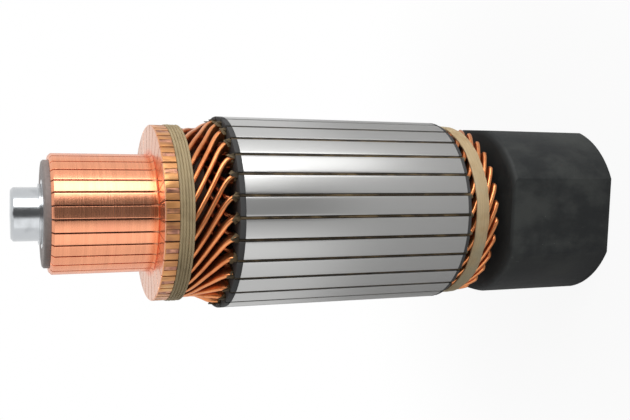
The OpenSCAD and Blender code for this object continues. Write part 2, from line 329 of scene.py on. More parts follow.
@once
def ground_steel(f):
    shade = palette().steel
    fine = f.noise(1.0, 3, f.stretch((40, 40, 4200)), 0.65)
    lines = f.noise(1.0, 4, f.stretch((26, 26, 1500)), 0.7)
    bands = f.noise(1.0, 3, f.stretch((14, 14, 260)))
    cloud = f.noise(46, 4)
    scratch = f.step(f.noise(1.0, 2, f.stretch((160, 160, 2600))), 0.66, 0.74)
    tone = f.step(lines * 0.35 + bands * 0.4 + fine * 0.25, 0.38, 0.62)
    base = f.blend(tone, rgba(shade, 0.60), rgba(shade, 1.26))
    base = f.blend(f.step(cloud, 0.48, 0.76) * 0.4, base, rgba((0.37, 0.43, 0.45)))
    base = f.blend(scratch * 0.45, base, rgba(shade, 0.50))
    rough = 0.22 + 0.12 * lines + 0.08 * cloud
    return f.surface(Base_Color=base, Metallic=1.0, Roughness=rough,
                     Normal=f.bump(lines * 0.5 + fine * 0.3 + bands * 0.2, 0.00006, 0.8))


@once
def turned_steel(f):
    shade = palette().shaft
    lines = f.turned(12, 4200)
    stain = f.noise(160, 5)
    base = f.blend(f.step(stain, 0.5, 0.75) * 0.35 + 0.25 * lines, rgba(shade), rgba(shade, 0.58))
    return f.surface(Base_Color=base, Metallic=1.0, Roughness=0.12 + 0.10 * lines + 0.07 * stain,
                     Normal=f.bump(lines, 0.00002, 0.4))


@once
def black_oxide(f):
    colours = palette()
    cloud = f.noise(38, 6, None, 0.66)
    fine = f.noise(620, 4)
    patch = f.noise(1.0, 5, f.stretch((80, 80, 36), (0.3, 0.5, 0)), 0.6)
    bloom = f.step(cloud * 0.55 + patch * 0.45, 0.43, 0.62)
    # Darker towards the top of the block, under the winding: partly oily soot, partly painted shade
    inner = f.step(f.part(f.place(), "Z"), BLOCK_HIGH - 0.0024, BLOCK_HIGH - 0.0004)
    base = f.blend(bloom * 0.6 + fine * 0.08, rgba(colours.oxide), rgba(colours.bloom, 0.62))
    scuff = f.step(f.noise(1.0, 3, f.stretch((300, 300, 90))), 0.70, 0.80)
    base = f.blend(scuff * 0.35, base, rgba(colours.bloom, 1.1))
    speck = f.step(f.noise(900, 1), 0.79, 0.84)
    base = f.blend(speck * 0.45, base, rgba(colours.bloom, 1.8))
    # Blends in the soot and the painted shade on the top of the block
    base = f.blend(inner * 0.5, base, rgba((0.005, 0.005, 0.005)))
    return f.surface(Base_Color=base, Metallic=0.0, Specular_IOR_Level=0.32,
                     Roughness=0.38 + 0.2 * bloom + 0.12 * fine + 0.25 * inner,
                     Normal=f.bump(fine * 0.5 + cloud * 0.5, 0.00012, 0.7))


@once
def bar_copper(f):
    colours = palette()
    front = riser_front()
    lines = f.turned(26, 4200)
    bands = f.turned(10, 420)
    heat = f.noise(80, 3)
    z = f.part(f.place(), "Z")
    radius = f.radius()
    # Redder copper at the root of the bars by the risers: partly its own colour, partly painted reflection of
    # the risers
    near = (1 - f.step(z, front + 0.0004, front + 0.0042)) * (1 - f.step(radius, 0.0243, 0.0262))
    rim = f.step(radius, 0.0350, 0.0356) * (1 - f.step(z, front - 0.0005, front - 0.0001))
    # Paler front face of the risers: partly its turned finish, partly painted reflection
    face = f.step(radius, 0.0250, 0.0270) * f.step(z, front - 0.0003, front)
    base = f.blend(f.step(lines * 0.55 + bands * 0.45, 0.3, 0.7), rgba(colours.bar, 0.84),
                   rgba(colours.bar, 1.05))
    base = f.blend(f.step(heat, 0.45, 0.8) * 0.45, base, rgba((0.86, 0.33, 0.20)))
    base = f.blend(near * 0.7, base, rgba((0.88, 0.23, 0.08)))
    base = f.blend(face * 0.55, base, rgba((0.78, 0.56, 0.43)))
    lump = f.noise(1.0, 3, f.stretch((260, 260, 70)), 0.55)
    glint = f.noise(70, 2)
    rough_rim = f.blend(f.step(lump, 0.38, 0.60), rgba((0.82, 0.38, 0.14)), rgba(colours.riser, 0.62))
    rough_rim = f.blend(f.step(lump, 0.56, 0.70) * 0.8, rough_rim, rgba((0.26, 0.085, 0.05)))
    rough_rim = f.blend(f.step(glint, 0.52, 0.66) * 0.5, rough_rim, rgba((0.98, 0.62, 0.26)))
    base = f.blend(rim, base, rough_rim)
    grain = f.noise(1.0, 3, f.stretch((700, 700, 150)), 0.55)
    height = (lines * 0.7 + bands * 0.3) * (1 - rim) + (grain * 3.0 + lump * 5.0) * rim
    return f.surface(Base_Color=base, Metallic=0.94 - 0.3 * rim,
                     Roughness=0.17 + 0.12 * lines + 0.06 * heat + 0.08 * rim,
                     Normal=f.bump(height, 0.00003, 0.6))


@once
def riser_solder(f):
    colours = palette()
    lumps = f.noise(420, 2, None, 0.5)
    base = f.blend(f.step(lumps, 0.40, 0.62), rgba((0.62, 0.30, 0.19)), rgba((0.36, 0.16, 0.115)))
    base = f.blend(f.step(f.noise(90, 2), 0.5, 0.66) * 0.6, base, rgba(colours.riser))
    return f.surface(Base_Color=base, Metallic=0.85, Roughness=0.28 + 0.2 * lumps,
                     Normal=f.bump(lumps, 0.00015, 0.6))


@once
def strip_copper(f):
    colours = palette()
    drawn = f.noise(420, 4)
    film = f.noise(120, 4, None, 0.6)
    fleck = f.step(f.noise(1400, 2), 0.68, 0.75)
    # Darker deeper in, towards the lower layer: partly tarnish, partly painted shade under and between the
    # strips
    deep = 1 - f.step(f.radius(), 0.0310, 0.0362)
    base = f.blend(f.step(film, 0.40, 0.70) * 0.6, rgba(colours.strip), rgba((0.70, 0.21, 0.07)))
    base = f.blend(f.step(drawn, 0.55, 0.8) * 0.45, base, rgba(colours.tarnish, 1.5))
    base = f.blend(deep * 0.88, base, rgba((0.20, 0.045, 0.02)))
    base = f.blend(fleck * 0.3, base, rgba((0.95, 0.62, 0.36)))
    return f.surface(Base_Color=base, Metallic=0.9, Roughness=0.22 + 0.18 * film,
                     Normal=f.bump(drawn * 0.6 + film * 0.4, 0.00009, 0.6))


@once
def dark_fibre(f):
    shade = palette().fibre
    weave = f.noise(700, 4)
    dust = f.step(f.noise(210, 5, None, 0.65), 0.52, 0.78)
    base = f.blend(weave * 0.5, rgba(shade, 0.7), rgba(shade, 1.7))
    base = f.blend(dust * 0.25, base, rgba((0.075, 0.066, 0.052)))
    return f.surface(Base_Color=base, Specular_IOR_Level=0.12, Roughness=0.7 + 0.2 * weave,
                     Normal=f.bump(weave, 0.00012, 0.7))


@once
def slot_paper(f):
    shade = palette().paper
    pulp = f.noise(900, 5, None, 0.7)
    stain = f.noise(260, 3)
    base = f.blend(pulp, rgba(shade, 0.65), rgba(shade, 1.25))
    base = f.blend(f.step(stain, 0.45, 0.75) * 0.6, base, rgba((0.06, 0.038, 0.018)))
    return f.surface(Base_Color=base, Roughness=0.75 + 0.15 * pulp,
                     Normal=f.bump(pulp, 0.00015, 0.8))


@once
def slot_filling(f):
    shade = palette().paper
    varnish = f.noise(1.0, 4, f.stretch((300, 300, 120)), 0.6)
    base = f.blend(f.step(varnish, 0.42, 0.68), rgba(shade, 0.18), rgba(shade, 0.85))
    return f.surface(Base_Color=base, Specular_IOR_Level=0.3, Roughness=0.5 + 0.3 * varnish,
                     Normal=f.bump(varnish, 0.00012, 0.7))


@once
def glass_tape(f):
    shade = palette().tape
    angle, z = f.angle(), f.part(f.place(), "Z")
    warp = f.noise(1.0, 3, f.stretch((60, 60, 3200)))
    weft = f.wave(angle * 360.0)
    ply = f.wave(z * 5200.0)
    varnish = f.noise(150, 4, None, 0.6)
    base = f.blend(warp, rgba(shade, 0.62), rgba(shade, 1.18))
    base = f.blend(f.step(varnish, 0.46, 0.74) * 0.55, base, rgba((0.40, 0.25, 0.11)))
    base = f.blend(f.step(f.noise(55, 3), 0.46, 0.62) * 0.5, base, rgba((0.44, 0.42, 0.29)))
    height = warp * 0.45 + weft * 0.2 + ply * 0.35
    return f.surface(Base_Color=base, Roughness=0.5 + 0.25 * varnish,
                     Normal=f.bump(height, 0.00016, 0.7))


@once
def binding_twine(f):
    shade = palette().cord
    angle, z = f.angle(), f.part(f.place(), "Z")
    twist = f.wave(angle * 150.0 + z * 9000.0)
    fibres = f.noise(1.0, 3, f.stretch((70, 70, 2600)))
    grime = f.noise(120, 4)
    base = f.blend(fibres * 0.7 + twist * 0.3, rgba(shade, 0.55), rgba(shade, 1.25))
    base = f.blend(f.step(grime, 0.48, 0.75) * 0.45, base, rgba((0.20, 0.145, 0.075)))
    return f.surface(Base_Color=base, Roughness=0.6 + 0.2 * fibres,
                     Normal=f.bump(fibres * 0.6 + twist * 0.4, 0.00015, 0.8))


@once
def split_mica(f):
    colours = palette()
    front = riser_front()
    leaf = f.noise(420, 4)
    z = f.part(f.place(), "Z")
    dragged = (1 - f.step(z, front + 0.0012, front + 0.0030)) * f.step(z, front - 0.0007, front - 0.0002)
    base = f.blend(leaf, rgba(colours.mica, 0.6), rgba(colours.mica, 1.5))
    base = f.blend(dragged * 0.85, base, rgba(colours.bar, 0.62))
    return f.surface(Base_Color=base, Metallic=dragged * 0.9, Roughness=0.5 - 0.2 * dragged + 0.2 * leaf,
                     Normal=f.bump(leaf, 0.00008, 0.6))


@once
def moulded_resin(f):
    shade = palette().resin
    grain = f.noise(850, 4)
    speck = f.step(f.cells(700), 0.10, 0.28)
    base = f.blend(grain, rgba(shade, 0.75), rgba(shade, 1.3))
    base = f.blend((1 - speck) * 0.4, base, rgba((0.35, 0.31, 0.28)))
    return f.surface(Base_Color=base, Roughness=0.42 + 0.2 * grain,
                     Normal=f.bump(grain, 0.00008, 0.6))


@once
def wrapped_fibre(f):
    shade = palette().brown_fibre
    wrap = f.noise(1.0, 3, f.stretch((90, 90, 1500)))
    return f.surface(Base_Color=f.blend(wrap, rgba(shade, 0.6), rgba(shade, 1.6)),
                     Roughness=0.6 + 0.2 * wrap, Normal=f.bump(wrap, 0.00012, 0.7))


# --------------------------------------------------------------- modelling

def deselect():
    if bpy.context.object and bpy.context.object.mode != "OBJECT":
        bpy.ops.object.mode_set(mode="OBJECT")
    bpy.ops.object.select_all(action="DESELECT")


def focus(piece):
    deselect()
    piece.select_set(True)
    bpy.context.view_layer.objects.active = piece


def edit(piece):
    focus(piece)
    bpy.ops.object.mode_set(mode="EDIT")
    bpy.ops.mesh.select_all(action="SELECT")


def leave_edit():
    bpy.ops.object.mode_set(mode="OBJECT")


def move_selected(piece, change):
    """Moves the selected vertices by a matrix."""
    mesh = bmesh.from_edit_mesh(piece.data)
    for vertex in mesh.verts:
        if vertex.select:
            vertex.co = change @ vertex.co
    bmesh.update_edit_mesh(piece.data)


def merged_copy(node, name):
    """A copy of a CAD node whose loose triangles are joined into faces."""
    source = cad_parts[node]
    piece = bpy.data.objects.new(name, source.data.copy())
    bpy.context.collection.objects.link(piece)
    edit(piece)
    bpy.ops.mesh.remove_doubles(threshold=0.000002)
    bpy.ops.mesh.dissolve_limited(angle_limit=math.radians(0.6))
    leave_edit()
    return piece


def soften(piece, width, segments=2, angle=28.0):
    """Rounds the sharp edges of a piece."""
    focus(piece)
    rounding = piece.modifiers.new("Edges", "BEVEL")
    rounding.width = width
    rounding.segments = segments
    rounding.limit_method = "ANGLE"
    rounding.angle_limit = math.radians(angle)
    bpy.ops.object.modifier_apply(modifier=rounding.name)


def dress(piece, name, material, slot, *nodes):
    """Names a finished piece, gives it its finish and ties it to the frame."""
    focus(piece)
    bpy.ops.object.transform_apply(location=True, rotation=True, scale=True)
    bpy.ops.object.shade_smooth_by_angle(angle=math.radians(32))
    piece.name = name
    piece.data.name = name
    piece.data.materials.clear()
    piece.data.materials.append(material)
    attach(piece, ROOT)
    if nodes:
        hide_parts(*nodes)
    return piece


def paint(node, material):
    """Gives a CAD node that stays a better finish."""
    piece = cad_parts[node]
    if not piece.data.materials:
        piece.data.materials.append(material)
    for holder in piece.material_slots:
        holder.link = "OBJECT"
        holder.material = material


def start_point(place):
    """A new mesh of one selected vertex, left in edit mode."""
    deselect()
    bpy.ops.mesh.primitive_plane_add(size=0.001)
    piece = bpy.context.object
    edit(piece)
    bpy.ops.mesh.merge(type="CENTER")
    bpy.ops.transform.translate(value=place)
    return piece


def thicken(piece, wall):
    """Gives a sheet its wall, half on each side."""
    focus(piece)
    shell = piece.modifiers.new("Wall", "SOLIDIFY")
    shell.thickness = wall
    shell.offset = 0
    bpy.ops.object.modifier_apply(modifier=shell.name)


def lathe(outline, steps=144, closed=True):
    """Turns an outline of (radius, height) round the shaft's axis."""
    points = [Vector((radius, 0, height)) for radius, height in outline]
    piece = start_point(points[0])
    route = points[1:] + points[:1] if closed else points[1:]
    here = points[0]
    for there in route:
        bpy.ops.mesh.extrude_region_move(TRANSFORM_OT_translate={"value": there - here})
        here = there
    bpy.ops.mesh.select_all(action="SELECT")
    bpy.ops.mesh.remove_doubles(threshold=0.000001)
    bpy.ops.mesh.spin(steps=steps, angle=2 * math.pi, center=(0, 0, 0), axis=(0, 0, 1))
    bpy.ops.mesh.select_all(action="SELECT")
    bpy.ops.mesh.remove_doubles(threshold=0.000001)
    bpy.ops.mesh.normals_make_consistent(inside=False)
    leave_edit()
    return piece


def sweep_strip(width, height, corner, stations, segments=2):
    """Draws a strip with rounded edges along stations, each a matrix."""
    deselect()
    bpy.ops.mesh.primitive_plane_add(size=1)
    piece = bpy.context.object
    edit(piece)
    bpy.ops.transform.resize(value=(width, height, 1))
    bpy.ops.mesh.bevel(affect="VERTICES", offset=corner, segments=segments)
    bpy.ops.mesh.select_all(action="SELECT")
    move_selected(piece, stations[0])
    for before, after in zip(stations, stations[1:]):
        bpy.ops.mesh.extrude_region_move()
        move_selected(piece, after @ before.inverted())
    bpy.ops.mesh.select_all(action="SELECT")
    bpy.ops.mesh.normals_make_consistent(inside=False)
    leave_edit()
    return piece


def turned_copy(piece, angle):
    """A copy with its own mesh, turned round the shaft's axis."""
    twin = bpy.data.objects.new(piece.name, piece.data.copy())
    bpy.context.collection.objects.link(twin)
    twin.data.transform(Matrix.Rotation(angle, 4, "Z"))
    return twin


def join(pieces):
    focus(pieces[0])
    for piece in pieces:
        piece.select_set(True)
    bpy.ops.object.join()
    return pieces[0]


# ------------------------------------------------------------- the winding

def ramp(u, rise, fall):
    """A run from 0 to 1 whose speed rises over rise and falls over fall."""
    whole = 1 - rise / 2 - fall / 2
    if u < rise:
        return u * u / (2 * rise) / whole
    if u > 1 - fall:
        return 1 - (1 - u) * (1 - u) / (2 * fall) / whole
    return (u - rise / 2) / whole


def smooth(u):
    t = min(max(u, 0.0), 1.0)
    return t * t * (3 - 2 * t)


class Route:
    """The path of one hairpin coil, by angle, radius and height."""

    BEND_IN = 0.25
    BEND_OUT = 0.3
    NOSE_BEND = 0.03
    FRONT_SETTLED = 0.46
    SPAN = 7

    def __init__(self, winding, commutator):
        self.width = winding.strip_width
        self.height = winding.strip_height
        self.pitch = 360.0 / winding.slots
        self.upper_r = CORE_R - winding.upper_depth
        self.layer = winding.strip_height + winding.layer_gap
        self.lead_r = commutator.riser_radius - commutator.lead_sink - self.height / 2
        self.half = self.SPAN * self.pitch / 2
        lead = math.degrees(commutator.bar_lead)
        self.upper_lead = lead - 4 * self.pitch
        self.lower_lead = lead + 3 * self.pitch
        self.front_start = DISC_HIGH + 0.4 * MM + winding.bend_gap
        self.front_end = RISER_BACK - 2 * winding.bend_gap
        self.rear_start = LINER_LOW - winding.bend_gap
        self.nose_z = BLOCK_HIGH + winding.nose_gap
        self.nose_r = self.upper_r - winding.nose_drop
        self.drop = winding.nose_drop
        self.reach = winding.nose_reach
        self.depth = self.rear_start - self.nose_z - winding.nose_lead
        self.rear_settled = ((self.rear_start - TAPE_HIGH - winding.bend_gap) / self.depth
                             * (1 - self.NOSE_BEND / 2))
        self.tip = (RISER_BACK + commutator.riser_width - commutator.riser_wall
                    - 2 * winding.bend_gap)

    def front(self, u, lead, drop):
        radius = self.upper_r - (self.upper_r - self.lead_r) * smooth(u / self.FRONT_SETTLED) - drop
        return (lead * ramp(u, self.BEND_IN, self.BEND_OUT), radius,
                self.front_start + (self.front_end - self.front_start) * u)

    def rear(self, u):
        radius = self.upper_r - self.drop * smooth(u / self.rear_settled)
        return (self.half * ramp(u, self.BEND_IN, 0), radius,
                self.rear_start - self.depth * ramp(u, 0, self.NOSE_BEND))

    def loop(self, steps=9):
        """Half of a nose: an edgewise bend that turns towards the block as it sinks."""
        ahead = math.radians(self.rear(0.95)[0] - self.rear(0.8)[0]) * self.nose_r
        down = self.rear(0.8)[2] - self.rear(0.95)[2]
        lean = math.atan2(ahead, down)
        found = []
        for k in range(1, steps + 1):
            bend = math.pi / 2 * k / steps
            swing = lean * (1 - smooth(k / steps) ** 5)
            wide, deep = math.sin(swing), -math.cos(swing)
            reach = self.reach * math.sin(bend)
            rise = self.layer / 2 * math.cos(bend)
            found.append(((self.half + math.degrees(reach * wide / self.nose_r),
                           self.nose_r - self.layer / 2 + rise, self.rear(1)[2] + reach * deep),
                          (math.cos(bend), math.sin(bend) * wide, math.sin(bend) * deep)))
        return found

    def points(self):
        """Each point as (angle, radius, height), and its height direction as (out, round, up)."""
        fronts = [k / 16 for k in range(17)]
        rears = [k / 14 for k in range(15)]
        flat = (1, 0, 0)
        path = [((self.upper_lead, self.lead_r, self.tip), flat)]
        path += [(self.front(u, self.upper_lead, 0), flat) for u in reversed(fronts)]
        path += [(self.rear(u), flat) for u in rears]
        upper = self.loop()
        path += upper
        middle = self.nose_r - self.layer / 2
        for (angle, radius, height), (out, wide, up) in reversed(upper[:-1]):
            path.append(((2 * self.half - angle, 2 * middle - radius, height), (-out, -wide, up)))
        for u in reversed(rears):
            angle, radius, height = self.rear(u)
            path.append(((2 * self.half - angle, radius - self.layer, height), (-1, 0, 0)))
        for u in fronts:
            angle, radius, height = self.front(u, self.lower_lead, self.layer)
            path.append(((2 * self.half + angle, radius, height), (-1, 0, 0)))
        path.append(((2 * self.half + self.lower_lead, self.lead_r - self.layer, self.tip), (-1, 0, 0)))
        return path

    def stations(self):
        """A matrix for each point, with the strip's height along its height direction."""
        path = self.points()
        places = [Vector((r * math.cos(math.radians(a)), r * math.sin(math.radians(a)), z))
                  for (a, r, z), _ in path]
        found = []
        for k, place in enumerate(places):
            run = Vector()
            if k:
                run += (place - places[k - 1]).normalized()
            if k < len(places) - 1:
                run += (places[k + 1] - place).normalized()
            turn = math.radians(path[k][0][0])
            radial = Vector((math.cos(turn), math.sin(turn), 0))
            sideways = Vector((-math.sin(turn), math.cos(turn), 0))
            out, wide, up = path[k][1]
            tall = radial * out + sideways * wide + Vector((0, 0, up))
            side = run.cross(tall).normalized()
            tall = tall.normalized()
            ahead = side.cross(tall)
            matrix = Matrix((side, tall, ahead)).transposed().to_4x4()
            found.append(Matrix.Translation(place) @ matrix)
        return found


class ARMATURE_OT_coils(bpy.types.Operator):
    """Winds the hairpin coils, one strip of copper for each slot"""
    bl_idname = "armature.coils"
    bl_label = "Hairpin Coils"

    def spring(self, coil, k):
        """Lets the free end turns stand a hair out of line, each in its own way."""
        for vertex in coil.data.vertices:
            z = vertex.co.z
            front = smooth((z - DISC_HIGH) / 0.004) * smooth((CORD_LOW - z) / 0.004)
            rear = smooth((TAPE_LOW - z) / 0.004)
            place = Vector((k * 3.7, z * 90, 0))
            turn = noise.noise(place) * (front * 0.010 + rear * 0.016)
            lift = 1 + noise.noise(place + Vector((0, 0, 9))) * (front * 0.004 + rear * 0.008)
            vertex.co = Matrix.Rotation(turn, 4, "Z") @ vertex.co
            vertex.co.x *= lift
            vertex.co.y *= lift

    def execute(self, context):
        winding = context.scene.armature_winding
        route = Route(winding, context.scene.armature_commutator)
        first = sweep_strip(winding.strip_width, winding.strip_height, winding.strip_corner,
                            route.stations(), 3)
        for k in range(winding.slots):
            name = "hairpin_coil_%02d" % (k + 1)
            coil = turned_copy(first, winding.slot_turn + math.radians(k * route.pitch))
            self.spring(coil, k)
            dress(coil, "strip_coil_%02d" % (k + 1), strip_copper(), "winding_copper", name)
        bpy.data.objects.remove(first)
        return {"FINISHED"}


# -------------------------------------------------------------- the pieces

class ARMATURE_OT_shaft(bpy.types.Operator):
    """Turns the shaft with its seats, its journal and its lathe centres"""
    bl_idname = "armature.shaft"
    bl_label = "Shaft"

    def execute(self, context):
        piece = merged_copy("shaft", "shaft_body")
        soften(piece, 0.15 * MM)
        dress(piece, "shaft_body", turned_steel(), "ground_steel", "shaft")
        paint("thrust_collar", turned_steel())
        paint("commutator_bush", turned_steel())
        return {"FINISHED"}


class ARMATURE_OT_block(bpy.types.Operator):
    """Rounds the blackened drive block and its flats"""
    bl_idname = "armature.block"
    bl_label = "Drive Block"

    def execute(self, context):
        piece = merged_copy("drive_block", "drive_block_body")
        soften(piece, 0.35 * MM, 3, 18)
        dress(piece, "drive_block_body", black_oxide(), "black_oxide_steel", "drive_block")
        return {"FINISHED"}


def polar(radius, angle, z=0.0):
    return Vector((radius * math.cos(angle), radius * math.sin(angle), z))


def chain(points):
    """A line of edges through the points, left in edit mode."""
    piece = start_point(points[0])
    for here, there in zip(points, points[1:]):
        bpy.ops.mesh.extrude_region_move(TRANSFORM_OT_translate={"value": there - here})
    return piece


def ring_of(piece, count, turn):
    """Copies of a piece round the axis, joined into one."""
    leave_edit()
    copies = [turned_copy(piece, turn + 2 * math.pi * k / count) for k in range(count)]
    bpy.data.objects.remove(piece)
    return join(copies)


def slotted(sizes, winding, bore, low, high):
    """A toothed ring: one tooth is drawn, repeated, filled and raised."""
    half = math.pi / winding.slots
    top_r = CORE_R - sizes.lip
    mouth, wall = sizes.slot_mouth / 2, sizes.slot_width / 2
    side = [(sizes.slot_floor, 0), (sizes.slot_floor, wall), (top_r, wall), (top_r, mouth),
            (math.sqrt(CORE_R ** 2 - mouth ** 2), mouth)]
    turn = Matrix.Rotation(-half, 4, "Z")
    left = [turn @ Vector((x, y, 0)) for x, y in side]
    reach = half - math.asin(mouth / CORE_R)
    arc = [polar(CORE_R, -reach + 2 * reach * k / 8) for k in range(1, 8)]
    right = [Vector((point.x, -point.y, 0)) for point in reversed(left)]
    piece = ring_of(chain(left + arc + right), winding.slots, winding.slot_turn + half)
    edit(piece)
    bpy.ops.mesh.remove_doubles(threshold=0.000002)
    bpy.ops.mesh.primitive_circle_add(vertices=96, radius=bore)
    bpy.ops.mesh.select_all(action="SELECT")
    bpy.ops.mesh.fill()
    bpy.ops.mesh.extrude_region_move(TRANSFORM_OT_translate={"value": (0, 0, high - low)})
    bpy.ops.mesh.select_all(action="SELECT")
    bpy.ops.transform.translate(value=(0, 0, low))
    bpy.ops.mesh.normals_make_consistent(inside=False)
    leave_edit()
    return piece


class ARMATURE_OT_core(bpy.types.Operator):
    """Builds the ground core and its fibre discs, tooth by tooth"""
    bl_idname = "armature.core"
    bl_label = "Core"

    def execute(self, context):
        sizes = context.scene.armature_core
        winding = context.scene.armature_winding
        piece = slotted(sizes, winding, sizes.core_bore, CORE_LOW, CORE_HIGH)
        soften(piece, sizes.edge)
        dress(piece, "core_body", ground_steel(), "electrical_steel", "core_stack")
        for node, bore in (("front_fibre_disc", sizes.core_bore), ("rear_fibre_disc", sizes.disc_bore)):
            disc = slotted(sizes, winding, bore, bottom(node), top(node))
            soften(disc, sizes.edge * 2)
            dress(disc, node + "_body", dark_fibre(), "dark_fibre", node)
        for node in ("slot_separators", "front_layer_sleeve", "rear_layer_sleeve", "shaft_insulator"):
            paint(node, wrapped_fibre())
        return {"FINISHED"}


class ARMATURE_OT_papers(bpy.types.Operator):
    """Lines the slots with paper and flares its tips where the strips come out"""
    bl_idname = "armature.papers"
    bl_label = "Slot Papers"

    def tip(self, k, start, toward, length, spread, sizes):
        """One torn tip of paper that folds over its strip and flares from the slot."""
        deselect()
        bpy.ops.mesh.primitive_grid_add(x_subdivisions=10, y_subdivisions=7, size=2)
        piece = bpy.context.object
        shake = random.Random(k * 7 + (1 if toward > 0 else 5000))
        lean = shake.uniform(-0.5, 0.5)
        lift = shake.uniform(-0.4, 0.4)
        width = shake.uniform(0.8, 1.25)
        ragged = [shake.uniform(0.90, 1.08) for _ in range(11)]
        for vertex in piece.data.vertices:
            across, along = vertex.co.x, (vertex.co.y + 1) / 2
            cut = ragged[round((across + 1) * 5)] * (1 - 0.50 * min(abs(across - lean * 0.6), 1))
            half = (1.05 + width * spread * along) * MM
            fold = 1.9 * abs(across) ** 1.4 * (1 - 0.25 * along)
            radius = CORE_R + (-1.5 + lift * along - fold) * MM
            crease = noise.noise(Vector((across * 1.1, along * 1.4, k * 1.9 + toward))) * 0.5 * along
            height = start + toward * length * along * cut
            vertex.co = Vector((radius + crease * MM, across * half + lean * along * 0.7 * MM, height))
        thicken(piece, sizes.paper * 0.7)
        edit(piece)
        bpy.ops.mesh.normals_make_consistent(inside=False)
        leave_edit()
        return piece

    def closer(self, sizes):
        """The varnished paper that shows in the mouth of a slot."""
        deselect()
        bpy.ops.mesh.primitive_grid_add(x_subdivisions=4, y_subdivisions=40, size=2)
        piece = bpy.context.object
        half = sizes.slot_mouth / 2 - 0.22 * MM
        middle, length = (DISC_LOW + DISC_HIGH) / 2, (DISC_HIGH - DISC_LOW) / 2 - 0.2 * MM
        for vertex in piece.data.vertices:
            across, along = vertex.co.x, vertex.co.y
            sag = noise.noise(Vector((across, along * 12, 3))) * 0.12 * MM
            vertex.co = Vector((CORE_R - 0.42 * MM - 0.12 * MM * across * across + sag,
                                across * half, middle + along * length))
        thicken(piece, 0.2 * MM)
        return piece

    def execute(self, context):
        sizes = context.scene.armature_bindings
        winding = context.scene.armature_winding
        paint("slot_liners", slot_filling())
        ends = (("front", DISC_HIGH - 0.9 * MM, 1, sizes.flare + 0.6 * MM, 1.15),
                ("rear", DISC_LOW + 0.7 * MM, -1, sizes.flare * 0.8, 0.8))
        for name, start, toward, length, spread in ends:
            tips = []
            for k in range(winding.slots):
                tip = self.tip(k, start, toward, length, spread, sizes)
                turn = winding.slot_turn + 2 * math.pi * k / winding.slots
                tip.data.transform(Matrix.Rotation(turn, 4, "Z"))
                tips.append(tip)
            dress(join(tips), name + "_paper_tips", slot_paper(), "liner_paper")
        closer = self.closer(context.scene.armature_core)
        dress(ring_of(closer, winding.slots, winding.slot_turn), "slot_closers", slot_filling(), "liner_paper")
        return {"FINISHED"}


